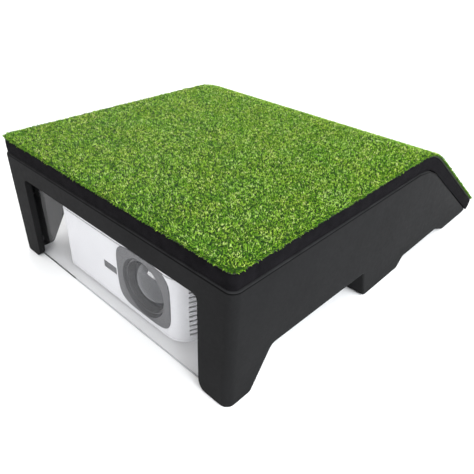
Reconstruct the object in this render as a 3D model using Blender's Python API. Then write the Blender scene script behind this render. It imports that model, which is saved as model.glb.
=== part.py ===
"""Floor enclosure for a golf simulator projector, with the projector that it covers.

A black moulded cover stands on six feet. A foam pad and artificial turf lie over its flat deck and down
its rear ramp, and a clear window closes its front. The cover lifts straight off the projector inside.

Metres, +Z up. X runs across, Y from the window to the ramp. Every piece is a child of the
empty "front_datum", so its own Y is measured from the cover's front face. The world origin is
on the floor, in the middle of the whole object.
"""

import math

import bmesh
import bpy
from mathutils import Vector

MM = 0.001
GAP = 0.3 * MM

# Cover: driving dimensions
FLOOR_WIDTH = 550 * MM
DECK_WIDTH = 558 * MM
DECK_Z = 200 * MM
RAMP_ANGLE = math.radians(34.2)
RAMP_TIP_Y = 795 * MM
BEND_RADIUS = 137 * MM
CAVITY_HALF = 255.5 * MM
FRONT_WALL = 11 * MM
DECK_WALL = 12 * MM
TOE_WALL = 42 * MM
CORNER_RADIUS = 14 * MM
EDGE_RADIUS = 3.5 * MM
OPENING_HALF = 219 * MM
BEAM_Z = 166.6 * MM
ARCH_FRONT_Z = 65 * MM
ARCH_REAR_Z = 59 * MM
LOW_ARCH_Z = 19 * MM
FOOT_BLOCK_X = 238.5 * MM
FOOT_BLOCK_Y = (317 * MM, 489 * MM)

# Soft layers on the deck
PAD_INSET = 2.5 * MM
PAD_THICK = 24 * MM
BACKING_THICK = 1.6 * MM
PILE_THICK = 6.5 * MM
PAD_TOE_Z = 2 * MM

# Window
WINDOW_HALF = 240 * MM
WINDOW_THICK = 3 * MM
WINDOW_BOTTOM = 1 * MM
WINDOW_TOP = 184 * MM
WINDOW_Y = FRONT_WALL + GAP
WINDOW_SCREW_BORE = 2.1 * MM
WINDOW_SCREWS = [(230 * MM, 34 * MM), (230 * MM, 132 * MM), (120 * MM, 176 * MM)]

# Projector case
CASE_X0, CASE_X1 = -150 * MM, 162 * MM
CASE_Y0, CASE_Y1 = 25 * MM, 255 * MM
CASE_RADII = (8 * MM, 36 * MM, 20 * MM, 12 * MM)
CASE_WALL = 2.5 * MM
BASE_Z0, BASE_Z1 = 16.5 * MM, 20.5 * MM
HOUSING_Z0, HOUSING_Z1 = 20.8 * MM, 131 * MM
TOP_Z0, TOP_Z1 = 131.3 * MM, 140 * MM
FOOT_SPOTS = {"front": (6 * MM, 60 * MM), "left": (-125 * MM, 228 * MM), "right": (132 * MM, 228 * MM)}
CASE_SCREW_SPOTS = [(-143 * MM, 62 * MM), (-143 * MM, 214 * MM), (155 * MM, 84 * MM), (155 * MM, 205 * MM)]

# Projector lens: heights are measured forwards along its axis from its rear datum
LENS_X, LENS_Z = 69 * MM, 77.5 * MM
LENS_DATUM_Y = 112 * MM
SURROUND_HALF = Vector((64.2 * MM, 56 * MM))
SURROUND_RISE = 2.5 * MM
SURROUND_POWER = 4.3
ZOOM_LEVER = Vector((4 * MM, 64.5 * MM))
ZOOM_TURN = math.radians(20)

# Projector outlets and keys
VENT_Z = (38 * MM, 122 * MM)
RIGHT_VENT_Y = (66 * MM, 190 * MM)
LEFT_VENT_Y = (70 * MM, 200 * MM)
LOUVRES = 10
CORNER_SLOT_Z = (30 * MM, 110 * MM)
CORNER_SLOT_HIGH = 3.2 * MM
CORNER_SLOT_TURN = (math.radians(-33), math.radians(-4))
PANEL_X = (-120 * MM, 110 * MM)
PANEL_Z = (34 * MM, 96 * MM)
IR_X = (-33 * MM, 2 * MM)
IR_Z = (67 * MM, 81 * MM)
KEY_CENTRE = (96 * MM, 205 * MM)
KEY_PITCH = 17 * MM

# How finely curves are divided
ROUND = 32
FINE_ROUND = 48
SMALL_ROUND = 12
FINE = math.radians(15)
COARSE = math.radians(30)

for old in list(bpy.data.objects):
    bpy.data.objects.remove(old, do_unlink=True)


# Outlines


def rounded(corners, step=COARSE):
    """Outline through (u, v, radius) corners, each corner with a radius as an arc."""
    points = []
    count = len(corners)
    for i, (u, v, radius) in enumerate(corners):
        here = Vector((u, v))
        if radius == 0:
            points.append(here)
            continue
        before = (Vector(corners[i - 1][:2]) - here).normalized()
        after = (Vector(corners[(i + 1) % count][:2]) - here).normalized()
        half = before.angle(after) / 2
        centre = here + (before + after).normalized() * (radius / math.sin(half))
        start = here + before * (radius / math.tan(half)) - centre
        end = here + after * (radius / math.tan(half)) - centre
        sweep = start.angle_signed(end)
        pieces = max(1, round(abs(sweep) / step))
        for k in range(pieces + 1):
            turn = -sweep * k / pieces
            points.append(centre + Vector((
                start.x * math.cos(turn) - start.y * math.sin(turn),
                start.x * math.sin(turn) + start.y * math.cos(turn))))
    return points


def box_outline(u0, u1, v0, v1, radius=0.0):
    return rounded([(u0, v0, radius), (u1, v0, radius), (u1, v1, radius), (u0, v1, radius)])


def circle(u, v, radius):
    turns = [math.tau * k / SMALL_ROUND for k in range(SMALL_ROUND)]
    return [Vector((u + radius * math.cos(t), v + radius * math.sin(t))) for t in turns]


def superellipse(half_u, half_v, power, count):
    """Closed outline between an ellipse (power 2) and a rectangle (high power)."""
    points = []
    for k in range(count):
        c = math.cos(math.tau * k / count)
        s = math.sin(math.tau * k / count)
        points.append(Vector((
            math.copysign(abs(c) ** (2 / power), c) * half_u,
            math.copysign(abs(s) ** (2 / power), s) * half_v)))
    return points


# Solids


def new_object(name, bm, location=(0, 0, 0), rotation=(0, 0, 0)):
    bmesh.ops.recalc_face_normals(bm, faces=bm.faces)
    mesh = bpy.data.meshes.new(name)
    bm.to_mesh(mesh)
    bm.free()
    obj = bpy.data.objects.new(name, mesh)
    obj.location = location
    obj.rotation_euler = rotation
    obj.parent = datum
    bpy.context.collection.objects.link(obj)
    return obj


def add_prism(bm, outline, axis, low, high):
    """Adds an outline extruded along X (outline in Y, Z), Y (in X, Z) or Z (in X, Y)."""
    place = {
        "X": lambda u, v, h: (h, u, v),
        "Y": lambda u, v, h: (u, h, v),
        "Z": lambda u, v, h: (u, v, h),
    }[axis]
    rings = [[bm.verts.new(place(p.x, p.y, h)) for p in outline] for h in (low, high)]
    bm.faces.new(rings[0])
    bm.faces.new(rings[1])
    join_rings(bm, rings[0], rings[1])


def join_rings(bm, first, second):
    count = max(len(first), len(second))
    for i in range(count):
        j = (i + 1) % count
        corners = []
        for ring, k in ((first, i), (first, j), (second, j), (second, i)):
            vert = ring[k] if len(ring) > 1 else ring[0]
            if vert not in corners:
                corners.append(vert)
        bm.faces.new(corners)


def prism(name, outline, axis, low, high, **place):
    bm = bmesh.new()
    add_prism(bm, outline, axis, low, high)
    return new_object(name, bm, **place)


def add_turned(bm, profile, segments, closed, centre=(0, 0)):
    """Adds a profile of (radius, height) points turned about a line along Z."""
    rings = []
    for radius, height in profile:
        if radius == 0:
            rings.append([bm.verts.new((*centre, height))])
            continue
        rings.append([bm.verts.new((
            centre[0] + radius * math.cos(math.tau * k / segments),
            centre[1] + radius * math.sin(math.tau * k / segments),
            height)) for k in range(segments)])
    for a, b in zip(rings, rings[1:] + rings[:1] if closed else rings[1:]):
        join_rings(bm, a, b)


def turned(name, profile, segments=ROUND, closed=False, **place):
    bm = bmesh.new()
    add_turned(bm, profile, segments, closed)
    return new_object(name, bm, **place)


def tube_profile(inner, outer, low, high):
    return [(inner, low), (outer, low), (outer, high), (inner, high)]


def rod_profile(radius, low, high):
    return [(0, low), (radius, low), (radius, high), (0, high)]


def cutter(obj):
    obj.hide_render = True
    obj.display_type = "WIRE"
    return obj


def combine(target, other, operation):
    modifier = target.modifiers.new(other.name, "BOOLEAN")
    modifier.operation = operation
    modifier.solver = "EXACT"
    modifier.object = cutter(other)


def cut(target, *tools):
    for tool in tools:
        combine(target, tool, "DIFFERENCE")


def fuse(target, *tools):
    for tool in tools:
        combine(target, tool, "UNION")


def bevel(obj, width, segments=2, angle=50):
    modifier = obj.modifiers.new("edges", "BEVEL")
    modifier.width = width
    modifier.segments = segments
    modifier.limit_method = "ANGLE"
    modifier.angle_limit = math.radians(angle)


def finish(obj, material, smooth=True):
    obj.data.materials.append(material)
    if smooth:
        obj.data.shade_smooth()
        obj.data.set_sharp_from_angle(angle=math.radians(40))
    return obj


def material(name, colour, roughness, metallic=0.0, alpha=1.0):
    made = bpy.data.materials.new(name)
    made.use_nodes = True
    shader = made.node_tree.nodes["Principled BSDF"]
    shader.inputs["Base Color"].default_value = (*colour, 1.0)
    shader.inputs["Roughness"].default_value = roughness
    shader.inputs["Metallic"].default_value = metallic
    shader.inputs["Alpha"].default_value = alpha
    return made


def box_prism(name, x, y, z, radius=0.0):
    """A box over three (low, high) ranges, with its upright edges rounded."""
    return prism(name, box_outline(*x, *y, radius), "Z", *z)


# Deck line: the cover's top surface, from the front edge to the toe of the ramp


def deck_bend(height):
    """Where the flat and the ramp meet, and the arc's radius, for a surface height above the deck."""
    corner_y = RAMP_TIP_Y - DECK_Z / math.tan(RAMP_ANGLE) + height * math.tan(RAMP_ANGLE / 2)
    return corner_y, DECK_Z + height, BEND_RADIUS + height


def ramp_point(height, toe_z):
    """Point on the ramp surface at that height off the deck, square to the deck point at toe_z."""
    along = (DECK_Z - toe_z) / math.sin(RAMP_ANGLE)
    corner_y = RAMP_TIP_Y - DECK_Z / math.tan(RAMP_ANGLE)
    y = corner_y + along * math.cos(RAMP_ANGLE) + height * math.sin(RAMP_ANGLE)
    return y, toe_z + height * math.cos(RAMP_ANGLE)


TOE_POINT_Z = PAD_TOE_Z - GAP
STACK = 3 * GAP + PAD_THICK + BACKING_THICK + PILE_THICK
LENGTH = ramp_point(STACK, TOE_POINT_Z)[0]

datum = bpy.data.objects.new("front_datum", None)
datum.location = (0, -LENGTH / 2, 0)
bpy.context.collection.objects.link(datum)

BLACK_PLASTIC = material("black_moulded_plastic", (0.022, 0.022, 0.024), 0.55)
BLACK_FOAM = material("black_foam", (0.016, 0.015, 0.018), 0.8)
TURF_BACKING = material("turf_backing", (0.16, 0.2, 0.11), 0.9)
TURF_GREEN = material("turf_pile", (0.17, 0.32, 0.035), 0.85)
CLEAR = material("clear_polycarbonate", (0.9, 0.92, 0.93), 0.05, alpha=0.25)
ZINC = material("zinc_screw", (0.55, 0.55, 0.56), 0.35, metallic=1.0)
WHITE_PLASTIC = material("white_case_plastic", (0.78, 0.78, 0.8), 0.35)
GREY_PLASTIC = material("grey_surround_plastic", (0.12, 0.12, 0.13), 0.4)
DARK_PLASTIC = material("dark_plastic", (0.03, 0.03, 0.035), 0.45)
LENS_GLASS = material("lens_glass", (0.05, 0.06, 0.09), 0.03, alpha=0.6)
RUBBER = material("rubber", (0.02, 0.02, 0.02), 0.85)
METAL = material("cast_metal", (0.5, 0.5, 0.52), 0.45, metallic=1.0)
BOARD_GREEN = material("board_green", (0.02, 0.12, 0.05), 0.5)


# Cover


def side_outline():
    """The cover's side: three feet, a high and a low arch, the ramp, the bend and the deck."""
    bend_y, bend_z, bend_r = deck_bend(0)
    return rounded([
        (0, 0, 0),
        (47 * MM, 0, 8 * MM),
        (86 * MM, ARCH_FRONT_Z, 12 * MM),
        (325 * MM, ARCH_REAR_Z, 5 * MM),
        (343 * MM, 0, 10 * MM),
        (464 * MM, 0, 10 * MM),
        (480 * MM, LOW_ARCH_Z, 8 * MM),
        (624 * MM, LOW_ARCH_Z, 10 * MM),
        (669 * MM, 0, 14 * MM),
        (RAMP_TIP_Y, 0, 6 * MM),
        (bend_y, bend_z, bend_r),
        (0, DECK_Z, 0),
    ], step=FINE)


def cavity_outline():
    """The open space under the deck, which runs out through the floor."""
    bend_y, bend_z, bend_r = deck_bend(-DECK_WALL)
    toe_y = RAMP_TIP_Y - TOE_WALL - 14 * MM
    floor_y = RAMP_TIP_Y - DECK_WALL / math.sin(RAMP_ANGLE)
    toe_z = (floor_y - toe_y) * math.tan(RAMP_ANGLE)
    below = -5 * MM
    return rounded([
        (FRONT_WALL, below, 0),
        (toe_y, below, 0),
        (toe_y, toe_z, 4 * MM),
        (bend_y, bend_z, bend_r),
        (FRONT_WALL, bend_z, 5 * MM),
    ], step=FINE)


def plan_outline(half, inset, rear_y):
    """A plan of that half width with rounded front corners."""
    front = CORNER_RADIUS - inset
    return rounded([(-half, inset, front), (half, inset, front), (half, rear_y, 0), (-half, rear_y, 0)],
                   step=FINE)


def drafted_block():
    """A block over the cover's plan whose sides lean out evenly from the floor to the deck."""
    bm = bmesh.new()
    rings = []
    for z in (-10 * MM, DECK_Z + 10 * MM):
        half = (FLOOR_WIDTH + (DECK_WIDTH - FLOOR_WIDTH) * z / DECK_Z) / 2
        outline = plan_outline(half, 0, RAMP_TIP_Y + 5 * MM)
        rings.append([bm.verts.new((p.x, p.y, z)) for p in outline])
        bm.faces.new(rings[-1])
    join_rings(bm, *rings)
    return new_object("cut_plan", bm)


def window_opening_outline():
    """The front opening: rounded under the beam and flared at the foot of each leg."""
    half = OPENING_HALF
    flare = 20 * MM
    below = -5 * MM
    return rounded([
        (-half - flare, below, 0), (-half - flare, 0, 0), (-half, 0, flare - 0.1 * MM),
        (-half, BEAM_Z, 10 * MM), (half, BEAM_Z, 10 * MM),
        (half, 0, flare - 0.1 * MM), (half + flare, 0, 0), (half + flare, below, 0),
    ], step=FINE)


def window_screw_spots():
    """(x, z) of each screw, left side first."""
    return [(side * x, z) for side in (-1, 1) for x, z in WINDOW_SCREWS]


def make_shell():
    """One moulding: the outer block, less its cavity, the window opening and the screw holes."""
    shell = prism("shell", side_outline(), "X", -DECK_WIDTH, DECK_WIDTH)
    combine(shell, drafted_block(), "INTERSECT")
    bevel(shell, EDGE_RADIUS, segments=3)
    cavity = prism("cut_cavity", cavity_outline(), "X", -CAVITY_HALF, CAVITY_HALF)
    for side, ends in (("left", (-DECK_WIDTH, -FOOT_BLOCK_X)), ("right", (FOOT_BLOCK_X, DECK_WIDTH))):
        cut(cavity, box_prism(f"keep_foot_block_{side}", ends, FOOT_BLOCK_Y, (-20 * MM, DECK_Z + 20 * MM)))
    cut(shell, cavity)
    cut(shell, prism("cut_window", window_opening_outline(), "Y", -10 * MM, FRONT_WALL + 5 * MM))
    holes = bmesh.new()
    for x, z in window_screw_spots():
        add_prism(holes, circle(x, z, WINDOW_SCREW_BORE), "Y", 4.5 * MM, FRONT_WALL + 4 * MM)
    cut(shell, new_object("cut_window_screw_holes", holes))
    return finish(shell, BLACK_PLASTIC)


def make_layer(name, height, thick, material_used):
    """A slab that follows the deck line, with the cover's rounded front corners in plan."""
    half = DECK_WIDTH / 2 - PAD_INSET
    bottom_y, bottom_z, bottom_r = deck_bend(height)
    top_y, top_z, top_r = deck_bend(height + thick)
    end_low = ramp_point(height, TOE_POINT_Z)
    end_high = ramp_point(height + thick, TOE_POINT_Z)
    step = RAMP_ANGLE / 6
    outline = rounded([
        (PAD_INSET, bottom_z, 0), (bottom_y, bottom_z, bottom_r), (*end_low, 0),
        (*end_high, 0), (top_y, top_z, top_r), (PAD_INSET, top_z, 0)], step=step)
    layer = prism(name, outline, "X", -half, half)
    plan = plan_outline(half, PAD_INSET, LENGTH + 10 * MM)
    combine(layer, prism("cut_plan_" + name, plan, "Z", -10 * MM, DECK_Z + 60 * MM), "INTERSECT")
    return finish(layer, material_used)


def make_window():
    outline = box_outline(-WINDOW_HALF, WINDOW_HALF, WINDOW_BOTTOM, WINDOW_TOP, 6 * MM)
    panel = prism("window_panel", outline, "Y", WINDOW_Y, WINDOW_Y + WINDOW_THICK)
    holes = bmesh.new()
    for x, z in window_screw_spots():
        add_prism(holes, circle(x, z, WINDOW_SCREW_BORE + 0.2 * MM), "Y", 5 * MM, 20 * MM)
    cut(panel, new_object("cut_window_holes", holes))
    finish(panel, CLEAR)


def make_window_screws():
    """Pan-head screws from behind, through the panel and into blind holes in the front wall."""
    head_y = WINDOW_Y + WINDOW_THICK + GAP
    profile = [(0, 0), (4.2 * MM, 0), (4.2 * MM, -1.2 * MM), (3 * MM, -2.2 * MM), (0, -2.4 * MM)]
    shaft = [(0, 9.2 * MM), (1.7 * MM, 9.2 * MM), (1.7 * MM, 0)]
    for number, (x, z) in enumerate(window_screw_spots(), start=1):
        screw = turned(f"window_screw_{number}", shaft + profile[1:], segments=SMALL_ROUND,
                       location=(x, head_y, z), rotation=(math.radians(90), 0, 0))
        finish(screw, ZINC)


# Projector case


def case_outline(inset=0.0):
    x = (CASE_X0 + inset, CASE_X1 - inset)
    y = (CASE_Y0 + inset, CASE_Y1 - inset)
    front_left, front_right, rear_right, rear_left = (r - inset for r in CASE_RADII)
    return rounded([(x[0], y[0], front_left), (x[1], y[0], front_right),
                    (x[1], y[1], rear_right), (x[0], y[1], rear_left)], step=FINE)


def make_case_base():
    base = prism("projector_base", case_outline(), "Z", BASE_Z0, BASE_Z1)
    through = (BASE_Z0 - 1 * MM, BASE_Z1 + 1 * MM)
    holes = bmesh.new()
    for spot in CASE_SCREW_SPOTS:
        add_turned(holes, rod_profile(1.8 * MM, *through), SMALL_ROUND, False, spot)
    add_turned(holes, rod_profile(5.4 * MM, *through), ROUND // 2, False, FOOT_SPOTS["front"])
    cut(base, new_object("cut_base_holes", holes))
    sinks = bmesh.new()
    for spot in CASE_SCREW_SPOTS:
        sink = rod_profile(3.4 * MM, BASE_Z0 - 1 * MM, BASE_Z0 + 2.1 * MM)
        add_turned(sinks, sink, SMALL_ROUND, False, spot)
    cut(base, new_object("cut_base_sinks", sinks))
    finish(base, WHITE_PLASTIC)


def lens_hole(name):
    """A cutter for the lens surround's place, which straddles the seam between housing and top."""
    outline = [Vector((LENS_X + p.x, LENS_Z + SURROUND_RISE + p.y))
               for p in superellipse(SURROUND_HALF.x + GAP, SURROUND_HALF.y + GAP, SURROUND_POWER, ROUND)]
    return prism(name, outline, "Y", CASE_Y0 - 5 * MM, CASE_Y0 + 5 * MM)


def corner_slots():
    """A cutter for the level vent slots round the case's front right corner."""
    radius = CASE_RADII[1]
    centre = Vector((CASE_X1 - radius, CASE_Y0 + radius))
    first, last = CORNER_SLOT_TURN
    turns = [first + (last - first) * k / 4 for k in range(5)]
    ways = [Vector((math.cos(t), math.sin(t))) for t in turns]
    band = [centre + way * (radius + CASE_WALL) for way in ways]
    band += [centre + way * (radius - 2 * CASE_WALL) for way in reversed(ways)]
    slots = bmesh.new()
    low, high = CORNER_SLOT_Z
    for k in range(LOUVRES):
        z = low + (high - low) * k / (LOUVRES - 1)
        add_prism(slots, band, "Z", z - CORNER_SLOT_HIGH / 2, z + CORNER_SLOT_HIGH / 2)
    return new_object("cut_corner_slots", slots)


def make_case_housing():
    """The case's wall, with posts for the case screws and an opening for each fitting."""
    housing = prism("projector_housing", case_outline(), "Z", HOUSING_Z0, HOUSING_Z1)
    cut(housing, prism("cut_housing_inside", case_outline(CASE_WALL), "Z", 0, DECK_Z))
    posts = bmesh.new()
    bores = bmesh.new()
    for spot in CASE_SCREW_SPOTS:
        add_turned(posts, rod_profile(5.2 * MM, HOUSING_Z0, 36 * MM), SMALL_ROUND, False, spot)
        add_turned(bores, rod_profile(1.7 * MM, HOUSING_Z0 - 1 * MM, 33 * MM), SMALL_ROUND, False, spot)
    fuse(housing, new_object("add_screw_posts", posts))
    cut(housing, new_object("cut_screw_bores", bores))
    cut(housing, lens_hole("cut_housing_lens_hole"), corner_slots())
    wall = 6 * MM
    slots = bmesh.new()
    add_prism(slots, box_outline(*IR_X, *IR_Z), "Y", CASE_Y0 - wall, CASE_Y0 + wall)
    add_prism(slots, box_outline(*PANEL_X, *PANEL_Z, 2 * MM), "Y", CASE_Y1 - wall, CASE_Y1 + wall)
    add_prism(slots, box_outline(*RIGHT_VENT_Y, *VENT_Z, 3 * MM), "X", CASE_X1 - wall, CASE_X1 + wall)
    add_prism(slots, box_outline(*LEFT_VENT_Y, *VENT_Z, 3 * MM), "X", CASE_X0 - wall, CASE_X0 + wall)
    cut(housing, new_object("cut_housing_openings", slots))
    finish(housing, WHITE_PLASTIC)


def key_spots():
    """(name, x, y, radius) of each key on the top."""
    x, y = KEY_CENTRE
    return [
        ("power_button", x - 62 * MM, y, 7 * MM),
        ("enter_button", x, y, 5.5 * MM),
        ("left_button", x - KEY_PITCH, y, 5 * MM),
        ("right_button", x + KEY_PITCH, y, 5 * MM),
        ("up_button", x, y - KEY_PITCH, 5 * MM),
        ("down_button", x, y + KEY_PITCH, 5 * MM),
    ]


def make_case_top():
    top = prism("projector_top", case_outline(), "Z", TOP_Z0, TOP_Z1)
    bevel(top, 3 * MM, segments=2, angle=60)
    cut(top, prism("cut_top_inside", case_outline(CASE_WALL), "Z", 0, TOP_Z1 - CASE_WALL))
    cut(top, lens_hole("cut_top_lens_hole"))
    holes = bmesh.new()
    for _, x, y, radius in key_spots():
        hole = rod_profile(radius + 0.4 * MM, TOP_Z0, TOP_Z1 + 1 * MM)
        add_turned(holes, hole, SMALL_ROUND, False, (x, y))
    cut(top, new_object("cut_key_holes", holes))
    reach = ZOOM_LEVER.y * math.sin(ZOOM_TURN) + ZOOM_LEVER.x + 1.5 * MM
    lever_y = (LENS_DATUM_Y - 59 * MM, LENS_DATUM_Y - 48 * MM)
    slot_x = (LENS_X - reach, LENS_X + reach)
    cut(top, box_prism("cut_zoom_slot", slot_x, lever_y, (TOP_Z0, TOP_Z1 + 1 * MM), 4 * MM))
    finish(top, WHITE_PLASTIC)


def make_keys():
    """Push keys: a domed cap over a flange that the top cover holds in."""
    flange_z = TOP_Z1 - CASE_WALL - GAP
    for name, x, y, radius in key_spots():
        profile = [
            (0, -2.6 * MM), (radius + 1.6 * MM, -2.6 * MM), (radius + 1.6 * MM, 0), (radius, 0),
            (radius, 3.8 * MM), (radius - 0.8 * MM, 4.5 * MM), (0, 4.7 * MM)]
        finish(turned(name, profile, segments=SMALL_ROUND, location=(x, y, flange_z)), GREY_PLASTIC)
    x, y = KEY_CENTRE
    board = box_prism("keypad_board", (x - 74 * MM, x + 26 * MM), (y - 26 * MM, y + 26 * MM),
                      (131.6 * MM, 133.2 * MM), 2 * MM)
    finish(board, BOARD_GREEN)


def make_case_screws():
    """Screws that hold the base to the housing's posts, heads sunk in the base."""
    head_z = BASE_Z0 + 0.1 * MM
    profile = [(0, 0), (3 * MM, 0), (3 * MM, 1.7 * MM),
               (1.4 * MM, 1.7 * MM), (1.4 * MM, 15 * MM), (0, 15 * MM)]
    for number, spot in enumerate(CASE_SCREW_SPOTS, start=1):
        screw = turned(f"case_screw_{number}", profile, segments=SMALL_ROUND, location=(*spot, head_z))
        finish(screw, ZINC)


def make_feet():
    """A front foot that slides up through the base, and two fixed rear feet."""
    stem_top = 32 * MM
    profile = [(0, 0), (9 * MM, 0), (10 * MM, 1 * MM), (10 * MM, 5 * MM), (9 * MM, 6 * MM), (5 * MM, 6 * MM),
               (5 * MM, stem_top), (0, stem_top)]
    finish(turned("front_foot", profile, segments=ROUND // 2, location=(*FOOT_SPOTS["front"], 0)), RUBBER)
    rear_top = BASE_Z0 - GAP
    profile = [(0, 0), (8 * MM, 0), (9 * MM, 1 * MM), (10 * MM, rear_top), (0, rear_top)]
    for side in ("left", "right"):
        foot = turned(f"rear_foot_{side}", profile, segments=ROUND // 2, location=(*FOOT_SPOTS[side], 0))
        finish(foot, RUBBER)


def make_grille(name, outer_x, inner_x, span_y):
    """A flat grille with level louvres."""
    y0, y1 = span_y[0] + GAP, span_y[1] - GAP
    z0, z1 = VENT_Z[0] + GAP, VENT_Z[1] - GAP
    low, high = sorted((outer_x, inner_x))
    grille = prism(name, box_outline(y0, y1, z0, z1, 2.7 * MM), "X", low, high)
    border = 4 * MM
    pitch = (z1 - z0 - 2 * border) / LOUVRES
    slots = bmesh.new()
    for k in range(LOUVRES):
        slot_z = z0 + border + (k + 0.5) * pitch
        add_prism(slots, box_outline(y0 + border, y1 - border, slot_z - 0.28 * pitch, slot_z + 0.28 * pitch),
                  "X", low - 1 * MM, high + 1 * MM)
    cut(grille, new_object(f"cut_{name}", slots))
    finish(grille, WHITE_PLASTIC)


# Projector lens


def lens_place(forward=0.0):
    """Where a turned lens piece stands: its height runs forwards out of the projector."""
    return {"location": (LENS_X, LENS_DATUM_Y - forward, LENS_Z), "rotation": (math.radians(90), 0, 0)}


def make_lens_surround():
    """A rounded, dished frame between the case's opening and the round lens."""
    front = LENS_DATUM_Y - CASE_Y0 + 0.6 * MM
    half = SURROUND_HALF
    rise = SURROUND_RISE
    square, circle = SURROUND_POWER, 2
    rows = [
        # half width, half height, power, height of its centre over the lens axis, height forwards
        (half.x, half.y, square, rise, front - 0.8 * MM),
        (half.x - 0.8 * MM, half.y - 0.8 * MM, square, rise, front),
        (half.x - 2 * MM, half.y - 2 * MM, square, rise, front),
        (50 * MM, 50 * MM, circle, 0, front - 0.8 * MM),
        (48 * MM, 48 * MM, circle, 0, front - 14 * MM),
        (49.5 * MM, 49.5 * MM, circle, 0, front - 14 * MM),
        (51.4 * MM, 51.4 * MM, circle, 0, front - 3.2 * MM),
        (half.x, half.y, square, rise, front - 3.2 * MM),
    ]
    bm = bmesh.new()
    rings = []
    for half_u, half_v, power, centre, height in rows:
        outline = superellipse(half_u, half_v, power, 2 * ROUND)
        rings.append([bm.verts.new((p.x, p.y + centre, height)) for p in outline])
    for a, b in zip(rings, rings[1:] + rings[:1]):
        join_rings(bm, a, b)
    finish(new_object("lens_surround", bm, **lens_place()), GREY_PLASTIC)


def make_lens():
    """A fixed barrel that carries the zoom ring and, in front, the focus ring with the front glass."""
    barrel = turned("lens_barrel", tube_profile(29 * MM, 33 * MM, 0, 66.5 * MM), closed=True, **lens_place())
    finish(barrel, DARK_PLASTIC)
    slip = 33.3 * MM
    focus = turned("focus_ring", [
        (slip, 62 * MM), (46 * MM, 62 * MM), (47 * MM, 63 * MM), (47 * MM, 80 * MM), (45.8 * MM, 82 * MM),
        (44.2 * MM, 82 * MM), (43 * MM, 77 * MM), (43 * MM, 68 * MM), (slip, 68 * MM)],
        segments=FINE_ROUND, closed=True, **lens_place())
    finish(focus, DARK_PLASTIC)
    zoom = turned("zoom_ring", [
        (slip, 46 * MM), (42 * MM, 46 * MM), (42 * MM, 61 * MM), (slip, 61 * MM)],
        closed=True, **lens_place())
    lever = box_outline(-ZOOM_LEVER.x, ZOOM_LEVER.x, 38 * MM, ZOOM_LEVER.y, 2 * MM)
    fuse(zoom, prism("add_zoom_lever", lever, "Z", 50 * MM, 57 * MM, **lens_place()))
    finish(zoom, DARK_PLASTIC)
    dome = dome_profile(42.7 * MM, 68.4 * MM, 69.5 * MM, 85.5 * MM)
    finish(turned("front_lens", dome, segments=FINE_ROUND, **lens_place()), LENS_GLASS)


def dome_profile(radius, low, edge, crown, rows=6):
    """A disc with a domed top: flat at low, its rim up to edge and its middle at crown."""
    ball = (radius ** 2 + (crown - edge) ** 2) / (2 * (crown - edge))
    profile = [(0, low), (radius, low)]
    for k in range(rows):
        out = radius * (1 - k / rows)
        profile.append((out, crown - ball + math.sqrt(ball ** 2 - out ** 2)))
    return profile + [(0, crown)]


# Projector inside


def make_engine():
    """The light path: lamp module, optical engine and the boards that run them."""
    floor = BASE_Z1 + GAP
    engine = box_prism("light_engine", (22 * MM, 116 * MM), (LENS_DATUM_Y + GAP, 196 * MM),
                       (floor, 112 * MM), 4 * MM)
    finish(engine, METAL)
    lamp = box_prism("lamp_module", (-66 * MM, 20 * MM), (128 * MM, 214 * MM), (floor, 96 * MM), 6 * MM)
    finish(lamp, DARK_PLASTIC)
    supply = box_prism("power_supply", (-134 * MM, -74 * MM), (76 * MM, 208 * MM), (floor, 74 * MM), 2 * MM)
    finish(supply, METAL)
    board_x, board_y, board_z = (-134 * MM, 18 * MM), (70 * MM, 246 * MM), (118 * MM, 119.6 * MM)
    board = box_prism("main_board", board_x, board_y, board_z, 2 * MM)
    finish(board, BOARD_GREEN)


def make_fan():
    """An axial fan behind the right grille: square frame, hub and seven blades."""
    centre = (140 * MM, 140 * MM, 78 * MM)
    half = 35 * MM
    depth = 20 * MM
    frame = prism("fan_frame", box_outline(-half, half, -half, half, 4 * MM), "Z", -depth / 2, depth / 2,
                  location=centre, rotation=(0, math.radians(90), 0))
    cut(frame, turned("cut_fan_throat", rod_profile(33 * MM, -depth, depth), location=centre,
                      rotation=(0, math.radians(90), 0)))
    finish(frame, DARK_PLASTIC)
    rotor = turned("fan_rotor", rod_profile(13 * MM, -7 * MM, 7 * MM), segments=20, location=centre,
                   rotation=(0, math.radians(90), 0))
    blades = bmesh.new()
    count = 7
    for k in range(count):
        turn = math.tau * k / count
        rings = []
        for radius, pitch in ((11 * MM, math.radians(48)), (31.5 * MM, math.radians(30))):
            chord = 12 * MM
            thick = 0.8 * MM
            ring = []
            for across, through in ((-1, -1), (1, -1), (1, 1), (-1, 1)):
                around = across * chord / 2 * math.cos(pitch) - through * thick * math.sin(pitch)
                height = across * chord / 2 * math.sin(pitch) + through * thick * math.cos(pitch)
                ring.append(blades.verts.new((
                    radius * math.cos(turn) - around * math.sin(turn),
                    radius * math.sin(turn) + around * math.cos(turn), height)))
            rings.append(ring)
        blades.faces.new(rings[0])
        blades.faces.new(rings[1])
        join_rings(blades, *rings)
    fuse(rotor, new_object("add_fan_blades", blades, location=centre, rotation=(0, math.radians(90), 0)))
    finish(rotor, DARK_PLASTIC)


# Projector rear panel


PORTS = [
    # name, centre x, centre z, opening width, opening height, depth, rim, material
    ("hdmi_port_1", -92 * MM, 66 * MM, 15 * MM, 5.5 * MM, 11 * MM, 0.8 * MM, METAL),
    ("hdmi_port_2", -62 * MM, 66 * MM, 15 * MM, 5.5 * MM, 11 * MM, 0.8 * MM, METAL),
    ("usb_port", -34 * MM, 66 * MM, 13 * MM, 5.6 * MM, 13 * MM, 0.8 * MM, METAL),
    ("power_inlet", 72 * MM, 62 * MM, 25 * MM, 17 * MM, 15 * MM, 2.5 * MM, DARK_PLASTIC),
]


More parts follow.
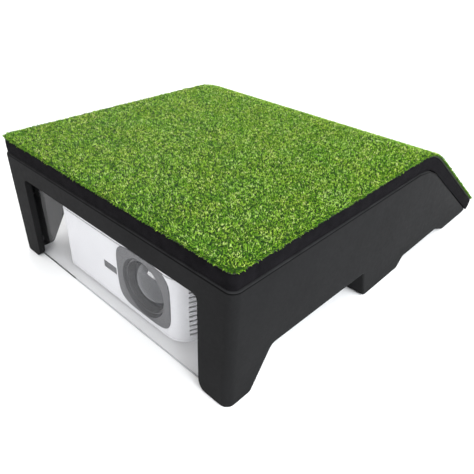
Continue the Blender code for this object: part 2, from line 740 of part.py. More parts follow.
def make_rear_panel():
    """The connector plate, and each socket as a cup that opens rearwards."""
    rear = CASE_Y1 - 0.3 * MM
    front = rear - 2.2 * MM
    plate = prism("connector_panel", box_outline(PANEL_X[0] + GAP, PANEL_X[1] - GAP, PANEL_Z[0] + GAP,
                                                 PANEL_Z[1] - GAP, 1.7 * MM), "Y", front, rear)
    holes = bmesh.new()
    for name, x, z, wide, high, depth, rim, metal in PORTS:
        half_x, half_z = wide / 2 + rim, high / 2 + rim
        add_prism(holes, box_outline(x - half_x - GAP, x + half_x + GAP, z - half_z - GAP, z + half_z + GAP),
                  "Y", front - 5 * MM, rear + 5 * MM)
        port = prism(name, box_outline(x - half_x, x + half_x, z - half_z, z + half_z), "Y",
                     rear - depth - 1.5 * MM, rear + 0.4 * MM)
        pocket = box_outline(x - wide / 2, x + wide / 2, z - high / 2, z + high / 2)
        cut(port, prism(f"cut_{name}", pocket, "Y", rear - depth, rear + 5 * MM))
        finish(port, metal)
    cut(plate, new_object("cut_panel_holes", holes))
    finish(plate, DARK_PLASTIC)


def make_ir_window():
    outline = box_outline(IR_X[0] + GAP, IR_X[1] - GAP, IR_Z[0] + GAP, IR_Z[1] - GAP, 1 * MM)
    finish(prism("ir_window", outline, "Y", CASE_Y0 + 0.2 * MM, CASE_Y0 + 2.4 * MM), DARK_PLASTIC)


make_shell()
make_layer("impact_pad", GAP, PAD_THICK, BLACK_FOAM)
make_layer("turf_backing", 2 * GAP + PAD_THICK, BACKING_THICK, TURF_BACKING)
make_layer("turf_pile", 3 * GAP + PAD_THICK + BACKING_THICK, PILE_THICK, TURF_GREEN)
make_window()
make_window_screws()

make_case_base()
make_case_housing()
make_case_top()
make_keys()
make_case_screws()
make_feet()
make_grille("vent_grille_right", CASE_X1 - 0.3 * MM, CASE_X1 - 2.3 * MM, RIGHT_VENT_Y)
make_grille("vent_grille_left", CASE_X0 + 0.3 * MM, CASE_X0 + 2.3 * MM, LEFT_VENT_Y)
make_ir_window()
make_lens_surround()
make_lens()
make_engine()
make_fan()
make_rear_panel()
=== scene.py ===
"""Looks for the golf simulator's projector enclosure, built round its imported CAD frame.

The cover, window and projector are the CAD nodes with procedural materials. The foam pad, the turf's
backing and its pile are new pieces that stand for the three CAD layers. They follow the same deck line:
flat, round the bend and down the ramp.
"""

import math

import bpy
import numpy as np
from mathutils import Euler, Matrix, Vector


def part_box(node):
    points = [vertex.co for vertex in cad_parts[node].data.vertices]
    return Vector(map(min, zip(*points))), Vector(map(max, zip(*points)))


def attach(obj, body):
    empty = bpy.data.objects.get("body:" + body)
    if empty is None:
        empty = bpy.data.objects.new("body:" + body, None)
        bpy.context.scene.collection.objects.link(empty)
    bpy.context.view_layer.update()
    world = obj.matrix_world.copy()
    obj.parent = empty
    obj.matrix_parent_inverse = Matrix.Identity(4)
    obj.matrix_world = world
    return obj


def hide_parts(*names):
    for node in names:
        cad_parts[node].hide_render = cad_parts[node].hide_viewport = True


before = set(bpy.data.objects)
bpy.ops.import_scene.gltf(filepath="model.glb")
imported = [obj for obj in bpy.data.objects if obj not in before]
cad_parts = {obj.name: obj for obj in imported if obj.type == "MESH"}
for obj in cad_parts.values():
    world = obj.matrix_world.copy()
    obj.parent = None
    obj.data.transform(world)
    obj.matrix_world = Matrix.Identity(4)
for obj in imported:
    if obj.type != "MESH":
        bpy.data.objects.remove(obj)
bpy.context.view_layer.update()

MM = 0.001

# The cover's top: flat deck, bend, ramp. RAMP_TIP is where the ramp's line would meet the floor, behind the
# front face, and TOE_Z the height that it really ends at.
FRONT_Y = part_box("shell")[0].y
DECK_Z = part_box("shell")[1].z
RAMP_ANGLE = math.radians(34.2)
RAMP_TIP = 795 * MM
BEND_RADIUS = 137 * MM
TOE_Z = 1.7 * MM

# Distances along the deck line from the front face
BEND_TANGENT = BEND_RADIUS * math.tan(RAMP_ANGLE / 2)
BEND_START = RAMP_TIP - DECK_Z / math.tan(RAMP_ANGLE) - BEND_TANGENT
BEND_END = BEND_START + BEND_RADIUS * RAMP_ANGLE
DECK_END = BEND_END + (DECK_Z - TOE_Z) / math.sin(RAMP_ANGLE) - BEND_TANGENT

# Soft layers. HEIGHTS are those of their tops over the deck.
LAYER_INSET = 2.5 * MM
LAYER_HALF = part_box("impact_pad")[1].x
CORNER_RADIUS = 11.5 * MM
HEIGHTS = {name: (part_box(name)[1].z - DECK_Z) for name in ("impact_pad", "turf_backing", "turf_pile")}
GAP = 0.3 * MM
PAD_FILLET = 2.2 * MM
PAD_BULGE = 0.5 * MM
BACKING_FILLET = 0.5 * MM
BACKING_DRAW_IN = 0.2 * MM
TURF_BASE_DEPTH = 3.6 * MM
TURF_BASE_FILLET = 1.5 * MM
LUMP_SIZES = (5.5 * MM, 8 * MM, 13 * MM)
LUMP_DEPTH = 0.7 * MM

# Pile
TUFT_PITCH = 3.9 * MM
TUFT_INSET = 0.8 * MM
BLADES_PER_TUFT = 4
CLUMP_SIZES = (14 * MM, 24 * MM)
PILE_BANDS = 9
ROOT_HEIGHT = 1.0 * MM
TIP_CLEARANCE = 0.1 * MM
FRINGE_PITCH = 0.75 * MM
RAGGED_SIZES = (9 * MM, 16 * MM, 30 * MM)
BLADE_POINTS = 7

SHARP_ANGLE = math.radians(32)
MERGE_DISTANCE = 0.01 * MM
WINDOW_TINT = (0.968, 0.968, 0.972, 1.0)
FLOOR_REACH = 30.0

random = np.random.default_rng(7)


# Materials


class Surface:
    """A Principled material and short calls for the nodes in front of it."""

    def __init__(self, name, roughness=0.5, **inputs):
        self.material = bpy.data.materials.new(name)
        self.material.use_nodes = True
        self.tree = self.material.node_tree
        self.shader = self.tree.nodes["Principled BSDF"]
        self.shader.inputs["Roughness"].default_value = roughness
        for key, value in inputs.items():
            self.shader.inputs[key.replace("_", " ")].default_value = value
        self.place = self.tree.nodes.new("ShaderNodeTexCoord").outputs["Object"]

    def node(self, kind, values=None, **settings):
        made = self.tree.nodes.new(kind)
        for key, value in settings.items():
            setattr(made, key, value)
        for key, value in (values or {}).items():
            if isinstance(value, bpy.types.NodeSocket):
                self.tree.links.new(value, made.inputs[key])
            else:
                made.inputs[key].default_value = value
        return made

    def noise(self, scale, detail=2.0, vector=None):
        values = {"Vector": vector or self.place, "Scale": scale, "Detail": detail}
        return self.node("ShaderNodeTexNoise", values).outputs["Fac"]

    def cells(self, scale):
        return self.node("ShaderNodeTexVoronoi", {"Vector": self.place, "Scale": scale}).outputs["Distance"]

    def level(self, axis):
        """One part of the surface's own normal."""
        normal = self.tree.nodes["Texture Coordinate"].outputs["Normal"]
        return self.node("ShaderNodeSeparateXYZ", {"Vector": normal}).outputs[axis]

    def ramp(self, factor, stops):
        """A colour ramp through (position, colour) stops."""
        made = self.node("ShaderNodeValToRGB", {"Fac": factor})
        elements = made.color_ramp.elements
        while len(elements) < len(stops):
            elements.new(0.5)
        for element, (position, colour) in zip(elements, stops):
            element.position = position
            element.color = (*colour, 1.0)
        return made.outputs["Color"]

    def span(self, value, low, high, from_low=0.0, from_high=1.0):
        """The value stretched from its own range to the range from low to high."""
        values = {"Value": value, "From Min": from_low, "From Max": from_high, "To Min": low, "To Max": high}
        return self.node("ShaderNodeMapRange", values).outputs["Result"]

    def math(self, operation, a, b):
        return self.node("ShaderNodeMath", {0: a, 1: b}, operation=operation).outputs["Value"]

    def mix(self, factor, a, b, blend="MIX"):
        made = self.node("ShaderNodeMix", {"Factor": factor}, data_type="RGBA", blend_type=blend)
        for socket, value in (("A", a), ("B", b)):
            target = [s for s in made.inputs if s.name == socket and s.type == "RGBA"][0]
            if isinstance(value, bpy.types.NodeSocket):
                self.tree.links.new(value, target)
            else:
                target.default_value = (*value, 1.0)
        return [s for s in made.outputs if s.type == "RGBA"][0]

    def colour(self, output):
        self.tree.links.new(output, self.shader.inputs["Base Color"])

    def rough(self, output):
        self.tree.links.new(output, self.shader.inputs["Roughness"])

    def bump(self, *layers):
        """Bumps from (height output, depth in metres) pairs, one on top of the other."""
        normal = None
        for height, depth in layers:
            values = {"Height": height, "Distance": depth, "Strength": 1.0}
            if normal:
                values["Normal"] = normal
            normal = self.node("ShaderNodeBump", values).outputs["Normal"]
        self.tree.links.new(normal, self.shader.inputs["Normal"])


def moulded(name, low, high, roughness, grain=1400.0, depth=0.05 * MM, spread=0.06, painted_highlight=None, painted_shadow=None,
            **inputs):
    """Moulded plastic: a fine pebbled grain and a slight unevenness of colour and gloss.

    Where the two rim colours are given, an edge that rounds off upwards is painted with a patchy, paler
    highlight along its upper part and a dark painted shadow line below that.
    """
    made = Surface(name, **inputs)
    broad = made.noise(9.0, 3.0)
    fine = made.noise(260.0, 2.0)
    shade = made.ramp(made.math("ADD", made.math("MULTIPLY", broad, 0.6), made.math("MULTIPLY", fine, 0.4)),
                      [(0.3, low), (0.7, high)])
    if painted_highlight:
        # Painted light and shade on an edge that rounds off upwards, picked by how far its normal points up:
        # a dark painted shadow line lower on the rounding, and a patchy, paler painted highlight along its
        # upper part.
        level = made.level("Z")
        painted_shadow_mask = made.ramp(level, [(0.04, (0, 0, 0)), (0.3, (1, 1, 1)), (0.5, (1, 1, 1)), (0.62, (0, 0, 0))])
        shade = made.mix(painted_shadow_mask, shade, painted_shadow)
        highlight_band = made.ramp(level, [(0.5, (0, 0, 0)), (0.68, (1, 1, 1))])
        painted_highlight_mask = made.math("MULTIPLY", highlight_band, made.span(made.noise(45.0, 4.0), 0.35, 1.0, 0.35, 0.65))
        shade = made.mix(painted_highlight_mask, shade, painted_highlight)
    made.colour(shade)
    made.rough(made.span(made.noise(120.0, 3.0), roughness - spread, roughness + spread, 0.3, 0.7))
    made.bump((made.cells(grain), depth))
    return made.material


def metal(name, low, high, roughness, brushed=(1.0, 1.0, 1.0)):
    """Metal with fine lines in its gloss, drawn out along an axis where brushed is small."""
    made = Surface(name, Metallic=1.0)
    stretched = made.node("ShaderNodeMapping", {"Vector": made.place, "Scale": brushed}).outputs["Vector"]
    lines = made.noise(900.0, 3.0, vector=stretched)
    made.colour(made.ramp(made.noise(60.0, 3.0), [(0.3, low), (0.7, high)]))
    made.rough(made.span(lines, roughness - 0.1, roughness + 0.12, 0.3, 0.7))
    made.bump((lines, 0.02 * MM))
    return made.material


def foam():
    """Dense closed foam: small cells that catch little light."""
    made = Surface("impact_foam", Specular_IOR_Level=0.02)
    cells = made.cells(900.0)
    low, high = (0.0038, 0.0035, 0.0042), (0.0078, 0.0073, 0.0085)
    made.colour(made.ramp(made.noise(70.0, 4.0), [(0.25, low), (0.75, high)]))
    made.rough(made.span(cells, 0.68, 0.9, 0.0, 0.7))
    made.bump((cells, 0.25 * MM), (made.noise(45.0, 2.0), 0.5 * MM))
    return made.material


def backing():
    """Woven backing with dried latex on it."""
    made = Surface("turf_backing", Specular_IOR_Level=0.3)
    wave = made.node("ShaderNodeTexWave", {"Vector": made.place, "Scale": 110.0, "Distortion": 1.5})
    rows = wave.outputs["Fac"]
    made.colour(made.ramp(made.noise(300.0, 3.0), [(0.3, (0.008, 0.012, 0.006)), (0.7, (0.03, 0.04, 0.02))]))
    made.rough(made.span(rows, 0.75, 0.95))
    made.bump((rows, 0.3 * MM))
    return made.material


def turf(name, shade):
    """Grass yarn. Each blade has its own shade, and its colour is darkened towards its root as painted shade
    down in the pile.
    """
    made = Surface(name, Specular_IOR_Level=0.1)
    blade = made.node("ShaderNodeAttribute", attribute_name="blade")
    split = made.node("ShaderNodeSeparateColor", {"Color": blade.outputs["Color"]})
    own, along = split.outputs["Red"], split.outputs["Green"]
    patch = made.noise(55.0, 3.0)
    tone = made.math("ADD", made.math("MULTIPLY", own, 0.75), made.math("MULTIPLY", patch, 0.25))
    hue = made.ramp(made.noise(28.0, 2.0), [(0.35, (0.80, 0.91, 0.88)), (0.65, (0.94, 0.91, 0.80))])
    colour = made.mix(1.0, made.ramp(tone, shade), hue, "MULTIPLY")
    # Painted shade: the colour darkens towards the root, down in the pile.
    root = made.ramp(along, [(0.0, (0.12, 0.16, 0.08)), (0.5, (0.7, 0.75, 0.6)), (1.0, (1.0, 1.0, 1.0))])
    made.colour(made.mix(1.0, colour, root, "MULTIPLY"))
    made.rough(made.span(made.noise(700.0), 0.55, 0.8))
    return made.material


def window_sheet():
    """Clear polycarbonate. It shows what is behind it and mirrors a little of the room, more at a slant."""
    made = Surface("clear_polycarbonate", Metallic=1.0)
    haze = made.noise(18.0, 4.0)
    made.rough(made.span(haze, 0.05, 0.1, 0.3, 0.7))
    clear = made.node("ShaderNodeBsdfTransparent", {"Color": WINDOW_TINT})
    facing = made.node("ShaderNodeLayerWeight", {"Blend": 0.5}).outputs["Facing"]
    slant = made.math("MULTIPLY", made.math("POWER", facing, 8.0), 0.6)
    face_share = made.math("ADD", slant, made.span(haze, 0.026, 0.031, 0.3, 0.7))
    cut_edge = made.math("LESS_THAN", made.math("ABSOLUTE", made.level("Y"), 0.0), 0.5)
    made.colour(made.ramp(cut_edge, [(0.0, (0.94, 0.94, 0.95)), (1.0, (0.7, 0.7, 0.705))]))
    amount = made.math("MAXIMUM", face_share, made.math("MULTIPLY", cut_edge, 0.8))
    mixed = made.node("ShaderNodeMixShader", {0: amount, 1: clear.outputs[0], 2: made.shader.outputs[0]})
    output = made.tree.nodes["Material Output"]
    made.tree.links.new(mixed.outputs[0], output.inputs["Surface"])
    return made.material


def coated_glass():
    """Dark lens glass that mirrors a light sharply, its colour painted a little paler at a slant as a painted
    sheen.
    """
    made = Surface("coated_lens_glass", Specular_IOR_Level=0.8)
    facing = made.node("ShaderNodeLayerWeight", {"Blend": 0.35}).outputs["Facing"]
    # Painted sheen: the colour turns paler as the surface is seen at a slant.
    made.colour(made.ramp(facing, [(0.0, (0.010, 0.011, 0.015)), (0.6, (0.015, 0.016, 0.021)),
                                   (1.0, (0.02, 0.022, 0.025))]))
    made.rough(made.span(made.noise(40.0, 3.0), 0.02, 0.06))
    return made.material


def board():
    """Green circuit board with a grid of brassy tracks."""
    made = Surface("circuit_board")
    tracks = made.node("ShaderNodeTexBrick", {
        "Vector": made.place, "Scale": 60.0, "Mortar Size": 0.03, "Color1": (0.01, 0.09, 0.035, 1.0),
        "Color2": (0.015, 0.12, 0.05, 1.0), "Mortar": (0.2, 0.16, 0.05, 1.0)})
    made.colour(tracks.outputs["Color"])
    made.rough(made.span(made.noise(300.0), 0.3, 0.5))
    made.bump((tracks.outputs["Fac"], 0.05 * MM))
    return made.material


# The black cover's rounded edges get a painted highlight with a painted shadow line below it.
BLACK = moulded("black_moulding", (0.0104, 0.0104, 0.0108), (0.0150, 0.0150, 0.0155), 0.5,
                 grain=900.0, depth=0.03 * MM, spread=0.04, painted_highlight=(0.023, 0.023, 0.024),
                 painted_shadow=(0.0025, 0.0025, 0.0026), Specular_IOR_Level=0.012)
WHITE = moulded("white_case", (0.60, 0.60, 0.615), (0.665, 0.665, 0.678), 0.38, grain=2200.0, depth=0.02 * MM)
GREY = moulded("grey_surround", (0.049, 0.049, 0.052), (0.063, 0.063, 0.067), 0.42,
               grain=2200.0, depth=0.02 * MM)
KEY_GREY = moulded("grey_keys", (0.13, 0.13, 0.135), (0.17, 0.17, 0.175), 0.6, grain=2600.0, depth=0.02 * MM)
DARK = moulded("dark_plastic", (0.018, 0.018, 0.02), (0.03, 0.03, 0.033), 0.4, grain=2200.0, depth=0.02 * MM)
RUBBER = moulded("rubber_feet", (0.014, 0.014, 0.014), (0.026, 0.026, 0.026), 0.8, grain=1600.0)
ZINC = metal("zinc_plate", (0.5, 0.5, 0.49), (0.66, 0.66, 0.65), 0.33)
OXIDE = metal("black_oxide", (0.016, 0.016, 0.017), (0.035, 0.035, 0.036), 0.45)
RING = moulded("lens_rings", (0.042, 0.042, 0.045), (0.054, 0.054, 0.057), 0.35,
               grain=2600.0, depth=0.01 * MM)
CAST = metal("cast_alloy", (0.38, 0.38, 0.4), (0.55, 0.55, 0.57), 0.5)
SOCKET = metal("socket_plate", (0.5, 0.5, 0.5), (0.68, 0.68, 0.66), 0.3, brushed=(1.0, 0.1, 1.0))
FOAM = foam()
BACKING = backing()
WINDOW = window_sheet()
LENS = coated_glass()
BOARD = board()
TURF_BASE = turf("turf_base", [(0.2, (0.006, 0.022, 0.002)), (0.5, (0.02, 0.06, 0.005)),
                              (0.8, (0.06, 0.13, 0.012))])
TURF_BLADE = turf("turf_blades", [(0.08, (0.022, 0.085, 0.003)), (0.35, (0.155, 0.37, 0.015)),
                                  (0.65, (0.45, 0.68, 0.08)), (0.95, (0.93, 0.98, 0.48))])

NODE_LOOKS = {
    BLACK: ["shell"],
    WINDOW: ["window_panel"],
    OXIDE: [f"window_screw_{k}" for k in range(1, 7)],
    ZINC: [f"case_screw_{k}" for k in range(1, 5)],
    WHITE: ["projector_base", "projector_housing", "projector_top", "vent_grille_right", "vent_grille_left"],
    GREY: ["lens_surround"],
    KEY_GREY: ["power_button", "enter_button", "left_button", "right_button", "up_button", "down_button"],
    RING: ["lens_barrel", "focus_ring", "zoom_ring"],
    DARK: ["ir_window", "lamp_module", "fan_frame", "fan_rotor", "connector_panel", "power_inlet"],
    RUBBER: ["front_foot", "rear_foot_left", "rear_foot_right"],
    LENS: ["front_lens"],
    CAST: ["light_engine", "power_supply"],
    BOARD: ["main_board", "keypad_board"],
    SOCKET: ["hdmi_port_1", "hdmi_port_2", "usb_port"],
}


def smoothing():
    """Node group that joins a mesh's points, keeps its edges over SHARP_ANGLE crisp and smooths the rest."""
    group = bpy.data.node_groups.new("smooth_by_angle", "GeometryNodeTree")
    group.interface.new_socket("Geometry", in_out="INPUT", socket_type="NodeSocketGeometry")
    group.interface.new_socket("Geometry", in_out="OUTPUT", socket_type="NodeSocketGeometry")
    nodes, links = group.nodes, group.links
    source, result = nodes.new("NodeGroupInput"), nodes.new("NodeGroupOutput")
    merge = nodes.new("GeometryNodeMergeByDistance")
    merge.inputs["Distance"].default_value = MERGE_DISTANCE
    angle = nodes.new("GeometryNodeInputMeshEdgeAngle")
    sharp = nodes.new("FunctionNodeCompare")
    sharp.data_type, sharp.operation = "FLOAT", "GREATER_THAN"
    sharp.inputs["B"].default_value = SHARP_ANGLE
    shade = nodes.new("GeometryNodeSetMeshNormal")
    shade.mode = "SHARPNESS"
    shade.inputs["Remove Custom"].default_value = True
    links.new(source.outputs[0], merge.inputs["Geometry"])
    links.new(merge.outputs["Geometry"], shade.inputs["Mesh"])
    links.new(angle.outputs["Unsigned Angle"], sharp.inputs["A"])
    links.new(sharp.outputs["Result"], shade.inputs["Edge Sharpness"])
    links.new(shade.outputs["Mesh"], result.inputs[0])
    return group


smooth_group = smoothing()
for look, names in NODE_LOOKS.items():
    for name in names:
        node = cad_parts[name]
        for material_slot in node.material_slots:
            material_slot.material = look
        node.modifiers.new("smooth_by_angle", "NODES").node_group = smooth_group
        weighted = node.modifiers.new("weighted_normals", "WEIGHTED_NORMAL")
        weighted.keep_sharp = True


# Deck line


def deck_points(along, across, height):
    """World points from distance along the deck line, distance across it and height off it."""
    along, across, height = np.broadcast_arrays(along, across, height)
    turn = np.clip((along - BEND_START) / BEND_RADIUS, 0.0, RAMP_ANGLE)
    down = np.maximum(along - BEND_END, 0.0)
    flat = np.minimum(along, BEND_START)
    reach = BEND_RADIUS + height
    y = FRONT_Y + flat + reach * np.sin(turn) + down * math.cos(RAMP_ANGLE)
    z = DECK_Z - BEND_RADIUS + reach * np.cos(turn) - down * math.sin(RAMP_ANGLE)
    return np.stack([across, y, z], axis=-1)


def mesh_object(name, points, faces, material, smooth=True):
    """A new mesh object, in the scene, with that material."""
    mesh = bpy.data.meshes.new(name)
    mesh.from_pydata(points.reshape(-1, 3).tolist(), [], faces)
    mesh.materials.append(material)
    if smooth:
        mesh.shade_smooth()
    made = bpy.data.objects.new(name, mesh)
    bpy.context.collection.objects.link(made)
    return made


class Layer:
    """A slab on the deck with rounded edges all round and the cover's rounded front corners in plan."""

    corner_rows = 7
    fillet_steps = 5
    wall_steps = 4

    def __init__(self, low, high, fillet, spacing, inset=LAYER_INSET, half=LAYER_HALF):
        self.low, self.high, self.fillet = low, high, fillet
        self.inset, self.half = inset, half
        self.rows = self.corner_rows + round((DECK_END - inset - CORNER_RADIUS) / spacing)
        self.columns = round(2 * half / spacing)

    def plan(self, shrink):
        """(along, half width) of each row, the edge drawn in by shrink."""
        radius = CORNER_RADIUS - shrink
        turns = np.linspace(0, math.pi / 2, self.corner_rows + 1)
        start = self.inset + shrink
        corner = start + radius * (1 - np.cos(turns))
        corner_half = self.half - shrink - radius * (1 - np.sin(turns))
        rest = np.linspace(start + radius, DECK_END - shrink, self.rows - self.corner_rows + 1)[1:]
        along = np.concatenate([corner, rest])
        return along, np.concatenate([corner_half, np.full(len(rest), self.half - shrink)])

    def grid(self, shrink, height):
        """(along, across, height) of each point of one level of the slab."""
        along, half = self.plan(shrink)
        share = np.linspace(-1, 1, self.columns + 1)
        return along[:, None] + 0 * share, half[:, None] * share, np.full((len(along), len(share)), height)

    def edge(self, values):
        """The values at the grid's edge, once round."""
        return np.concatenate([values[0, :-1], values[:-1, -1], values[-1, :0:-1], values[:0:-1, 0]])

    def profile(self, bulge):
        """(shrink, height) down the slab's side: upper fillet, wall with its bulge, lower fillet."""
        fillet = []
        for bend in np.linspace(0, math.pi / 2, self.fillet_steps + 1)[1:]:
            shrink = self.fillet * (1 - math.sin(bend))
            fillet.append((shrink, self.high - self.fillet * (1 - math.cos(bend))))
        wall = []
        for k in range(1, self.wall_steps):
            share = k / self.wall_steps
            height = self.high - self.fillet - share * (self.high - self.low - 2 * self.fillet)
            wall.append((-bulge * math.sin(math.pi * share), height))
        lower = [(shrink, self.low + self.high - height) for shrink, height in reversed(fillet)]
        return fillet + wall + lower

    def build(self, name, material, bulge=0.0, move=None):
        """The slab as one closed mesh. move gives the top's points their own extra height."""
        top = self.grid(self.fillet, self.high)
        if move:
            top = (top[0], top[1], top[2] + move(top[0], top[1]))
        points = [deck_points(*top).reshape(-1, 3)]
        profile = self.profile(bulge)
        for shrink, height in profile:
            points.append(deck_points(*(self.edge(values) for values in self.grid(shrink, height))))
        points.append(deck_points(*self.grid(self.fillet, self.low)).reshape(-1, 3))

        count = (self.rows + 1) * (self.columns + 1)
        index = np.arange(count).reshape(self.rows + 1, self.columns + 1)
        around = self.edge(index)
        loops = [around]
        for k in range(len(profile)):
            loops.append(count + k * len(around) + np.arange(len(around)))
        base = count + len(profile) * len(around)
        loops.append(base + around)

        corners = (index[:-1, :-1], index[:-1, 1:], index[1:, 1:], index[1:, :-1])
        over = np.stack(corners, axis=-1).reshape(-1, 4)
        under = np.stack((corners[0], *corners[:0:-1]), axis=-1).reshape(-1, 4) + base
        walls = []
        for upper, lower in zip(loops, loops[1:]):
            walls.append(np.stack([np.roll(upper, -1), upper, lower, np.roll(lower, -1)], axis=-1))
        faces = np.concatenate([over, *walls, under])
        return mesh_object(name, np.concatenate(points), faces.tolist(), material)


def waves(along, across, sizes, depth):
    """A seeded bumpy height over the deck, made of plane waves of those wavelengths."""
    ways = 5
    total = np.zeros(np.broadcast(along, across).shape)
    for size in sizes:
        for _ in range(ways):
            way = random.uniform(0, math.tau)
            phase = random.uniform(0, math.tau)
            total += np.sin((along * math.cos(way) + across * math.sin(way)) * math.tau / size + phase)
    return total * depth / math.sqrt(ways * len(sizes))


def stand_for(made, node):
    """Lets the piece ride on the cover's body and stand for that CAD layer."""
    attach(made, "enclosure")
    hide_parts(node)


def make_pad():
    layer = Layer(GAP, HEIGHTS["impact_pad"], PAD_FILLET, spacing=12 * MM)
    pad = layer.build("foam_pad", FOAM, bulge=PAD_BULGE)
    stand_for(pad, "impact_pad")


def make_backing():
    layer = Layer(HEIGHTS["impact_pad"] + GAP, HEIGHTS["turf_backing"], BACKING_FILLET, spacing=6 * MM,
                  inset=LAYER_INSET + BACKING_DRAW_IN, half=LAYER_HALF - BACKING_DRAW_IN)
    cloth = layer.build("turf_backing_cloth", BACKING)
    stand_for(cloth, "turf_backing")
    return cloth


def paint(made, own, along):
    """Stores each point's own shade and its share of the way from root to tip."""
    attribute = made.data.color_attributes.new("blade", "FLOAT_COLOR", "POINT")
    colours = np.zeros((len(made.data.vertices), 4), np.float32)
    colours[:, 0], colours[:, 1], colours[:, 3] = own, along, 1.0
    attribute.data.foreach_set("color", colours.ravel())


def make_turf_base():
    """The matted lower part of the pile, lumpy on top."""
    low = HEIGHTS["turf_backing"] + GAP
    layer = Layer(low, low + TURF_BASE_DEPTH, TURF_BASE_FILLET, spacing=3.2 * MM)
    base = layer.build("turf_base", TURF_BASE,
                       move=lambda along, across: waves(along, across, LUMP_SIZES, LUMP_DEPTH))
    # The base takes the blades' painted root shade at 0.55 of the way up.
    paint(base, random.uniform(0.1, 0.9, len(base.data.vertices)), 0.55)
    stand_for(base, "turf_pile")


def blades(name, roots, way, lean, droop, curl, length, width, own):
    """Closed, bent, tapered blades with three points at the root, three half way and one at the tip.

    roots are (along, across, height). A blade leans by lean towards way, and its upper half by droop times
    as much, turned by curl. own is its shade.
    """
    count = len(way)
    step = length / 2
    top = HEIGHTS["turf_pile"] - TIP_CLEARANCE
    path = [roots]
    for turned, tilt in ((way, lean), (way + curl, lean * droop)):
        move = np.stack([np.sin(tilt) * np.cos(turned), np.sin(tilt) * np.sin(turned), np.cos(tilt)], axis=-1)
        path.append(path[-1] + move * step[:, None])
    points = np.zeros((count, BLADE_POINTS, 3))
    for k, share in ((0, 0.8), (1, 1.0)):
        size = width * share / math.sqrt(3)
        for j in range(3):
            around = way + curl * k + math.tau * j / 3
            points[:, 3 * k + j, 0] = path[k][:, 0] + size * np.cos(around)
            points[:, 3 * k + j, 1] = path[k][:, 1] + size * np.sin(around)
            points[:, 3 * k + j, 2] = path[k][:, 2] + (0.4 * size * math.cos(math.tau * j / 3) if k else 0)
    points[:, 6] = path[2]
    points[..., 2] = np.minimum(points[..., 2], top)
    faces = [(2, 1, 0)]
    for j in range(3):
        n = (j + 1) % 3
        faces += [(j, n, 3 + n), (j, 3 + n, 3 + j), (3 + j, 3 + n, 6)]
    every = (np.array(faces)[None] + np.arange(count)[:, None, None] * BLADE_POINTS).reshape(-1, 3)
    made = mesh_object(name, deck_points(*np.moveaxis(points, -1, 0)), every.tolist(), TURF_BLADE)
    paint(made, np.repeat(own, BLADE_POINTS), np.tile([0.0, 0.0, 0.0, 0.6, 0.6, 0.6, 1.0], count))
    stand_for(made, "turf_pile")


def inside_plan(along, across, inset):
    """Which points lie on the turf's plan, with its rounded front corners."""
    half = LAYER_HALF - inset
    start = LAYER_INSET + inset
    radius = CORNER_RADIUS - inset
    over = np.abs(across) - (half - radius)
    before = start + radius - along
    in_corner = (over > 0) & (before > 0)
    ok = (np.abs(across) <= half) & (along >= start) & (along <= DECK_END - inset)
    return ok & (~in_corner | (np.hypot(over, before) <= radius))


def make_pile():
    """Tufts of a few blades on a jittered grid, in bands so that no piece is too large."""
    reach = DECK_END - LAYER_INSET
    rows = int(reach / TUFT_PITCH)
    columns = int(2 * LAYER_HALF / TUFT_PITCH)
    row, column = np.meshgrid(np.arange(rows), np.arange(columns), indexing="ij")
    along = LAYER_INSET + (row.ravel() + random.uniform(0.1, 0.9, row.size)) * reach / rows
    across = -LAYER_HALF + (column.ravel() + random.uniform(0.1, 0.9, row.size)) * 2 * LAYER_HALF / columns
    keep = inside_plan(along, across, TUFT_INSET)
    along, across = along[keep], across[keep]
    clump = waves(along, across, CLUMP_SIZES, 0.5)
    shade = 0.5 + 0.12 * clump + random.uniform(-0.38, 0.38, len(along))
    low = HEIGHTS["turf_backing"] + GAP + ROOT_HEIGHT
    for band in range(PILE_BANDS):
        ends = [LAYER_INSET + reach * k / PILE_BANDS for k in (band, band + 1)]
        chosen = np.repeat(np.flatnonzero((along >= ends[0]) & (along < ends[1])), BLADES_PER_TUFT)
        n = len(chosen)
        way = random.uniform(0, math.tau, n)
        spread = random.uniform(0.2, 1.2, n) * MM
        roots = np.stack([along[chosen] + spread * np.cos(way), across[chosen] + spread * np.sin(way),
                          np.full(n, low)], axis=-1)
        blades(f"turf_blades_{band + 1}", roots, way, lean=random.uniform(0.15, 0.6, n),
               droop=2.2, curl=random.uniform(-1.3, 1.3, n), length=random.uniform(4.6, 6.8, n) * MM,
               width=random.uniform(0.9, 1.6, n) * MM,
               own=np.clip(shade[chosen] + random.normal(0, 0.12, n), 0, 1))


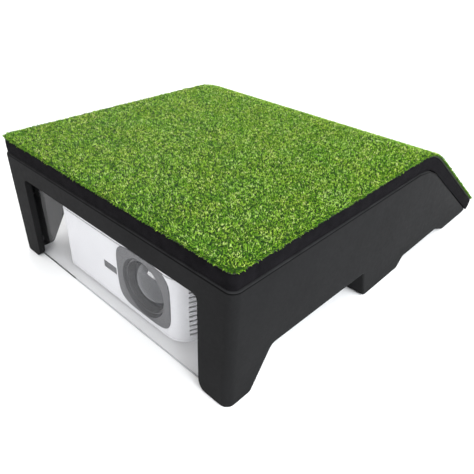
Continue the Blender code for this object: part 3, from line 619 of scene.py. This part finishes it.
def make_fringe():
    """Yarn along the cut edges, which leans out and hangs a little over them.

    It is strewn along the edge from the toe on one side, round the front, to the toe on the other side.
    """
    low = HEIGHTS["turf_backing"] + GAP
    straight = DECK_END - LAYER_INSET - CORNER_RADIUS
    quarter = CORNER_RADIUS * math.pi / 2
    front = 2 * (LAYER_HALF - CORNER_RADIUS)
    total = 2 * straight + 2 * quarter + front
    n = int(total / FRINGE_PITCH)
    at = (np.arange(n) + random.uniform(0, 1, n)) * total / n - total / 2
    side = np.sign(at)
    away = np.abs(at) - front / 2
    turn = np.clip(away / CORNER_RADIUS, 0, math.pi / 2)
    past = np.maximum(away - quarter, 0)
    inset = random.uniform(-0.4, 1.6, n) * MM
    reach = CORNER_RADIUS - inset
    along = LAYER_INSET + CORNER_RADIUS - reach * np.cos(turn) + past
    half = LAYER_HALF - CORNER_RADIUS + reach * np.sin(turn)
    across = side * np.where(away > 0, half, np.abs(at))
    along = np.where(away > 0, along, LAYER_INSET + inset)
    outward = np.arctan2(side * np.sin(turn), -np.cos(turn))
    roots = np.stack([along, across, low + random.uniform(0.0, 2.5, n) * MM], axis=-1)
    ragged = np.clip(0.5 + waves(at, 0 * at, RAGGED_SIZES, 0.45), 0, 1)
    # The fringe's shades are drawn darker than the pile's, a painted shade along the turf's edge.
    blades("turf_fringe", roots, outward + random.normal(0, 0.55, n), lean=random.uniform(0.5, 1.3, n),
           droop=random.uniform(1.5, 2.2, n), curl=random.uniform(-0.9, 0.9, n),
           length=(2.8 + 2.6 * ragged + random.uniform(0, 1.6, n)) * MM,
           width=random.uniform(0.9, 1.5, n) * MM, own=np.clip(random.normal(0.3, 0.2, n), 0, 1))


make_pad()
cloth = make_backing()
make_turf_base()
make_pile()
make_fringe()


# Studio


def make_floor():
    corners = [(x * FLOOR_REACH, y * FLOOR_REACH, 0.0) for x, y in ((-1, -1), (1, -1), (1, 1), (-1, 1))]
    look = Surface("pale_floor", roughness=0.9, Specular_IOR_Level=0.1)
    look.colour(look.ramp(look.noise(3.0), [(0.0, (0.93, 0.93, 0.93)), (1.0, (0.95, 0.95, 0.95))]))
    mesh_object("floor", np.array(corners), [[0, 1, 2, 3]], look.material, smooth=False)


def make_world():
    """An even white surround."""
    world = bpy.data.worlds.new("studio")
    world.use_nodes = True
    background = world.node_tree.nodes["Background"]
    background.inputs["Color"].default_value = (1.0, 1.0, 1.0, 1.0)
    background.inputs["Strength"].default_value = 1.0
    bpy.context.scene.world = world


def place_light(name, data, aim, place=(0, 0, 0)):
    """Puts a light in the scene, turned to shine along aim."""
    lamp = bpy.data.objects.new(name, data)
    lamp.location = place
    lamp.rotation_euler = Vector(aim).to_track_quat("-Z", "Y").to_euler()
    bpy.context.collection.objects.link(lamp)


def sun_light(name, aim, strength, angle):
    data = bpy.data.lights.new(name, "SUN")
    data.energy = strength
    data.angle = angle
    place_light(name, data, aim)


def area_light(name, place, target, size, power, colour=(1.0, 1.0, 1.0)):
    data = bpy.data.lights.new(name, "AREA")
    data.shape = "RECTANGLE"
    data.size, data.size_y = size
    data.energy = power
    data.color = colour
    place_light(name, data, Vector(target) - Vector(place), place)


def make_camera():
    """The camera that was fitted to the cover's edges."""
    data = bpy.data.cameras.new("camera")
    data.lens = 37.45
    data.sensor_width = 36.0
    camera = bpy.data.objects.new("camera", data)
    camera.location = (0.5665, -0.7184, 0.5515)
    camera.rotation_euler = Euler((1.0005, -0.0306, 0.7582))
    bpy.context.collection.objects.link(camera)
    bpy.context.scene.camera = camera


make_floor()
make_world()
sun_light("sun_light", (-0.75, 0.15, -1.0), 0.75, math.radians(50))
area_light("right_light", (1.6, -0.3, 1.0), (0.3, -0.1, 0.1), (1.4, 1.0), 36.0, colour=(0.93, 0.97, 1.0))
area_light("left_fill_light", (-1.6, 0.7, 1.3), (-0.2, 0.2, 0.1), (1.4, 1.0), 16.0)
# A low strip in front of the object, which the bulging front glass mirrors as its one glint
area_light("front_low_light", (-0.28, -1.45, 0.20), (0.085, -0.37, 0.1), (0.6, 0.18), 3.2)
make_camera()
bpy.context.scene.view_settings.view_transform = "Standard"
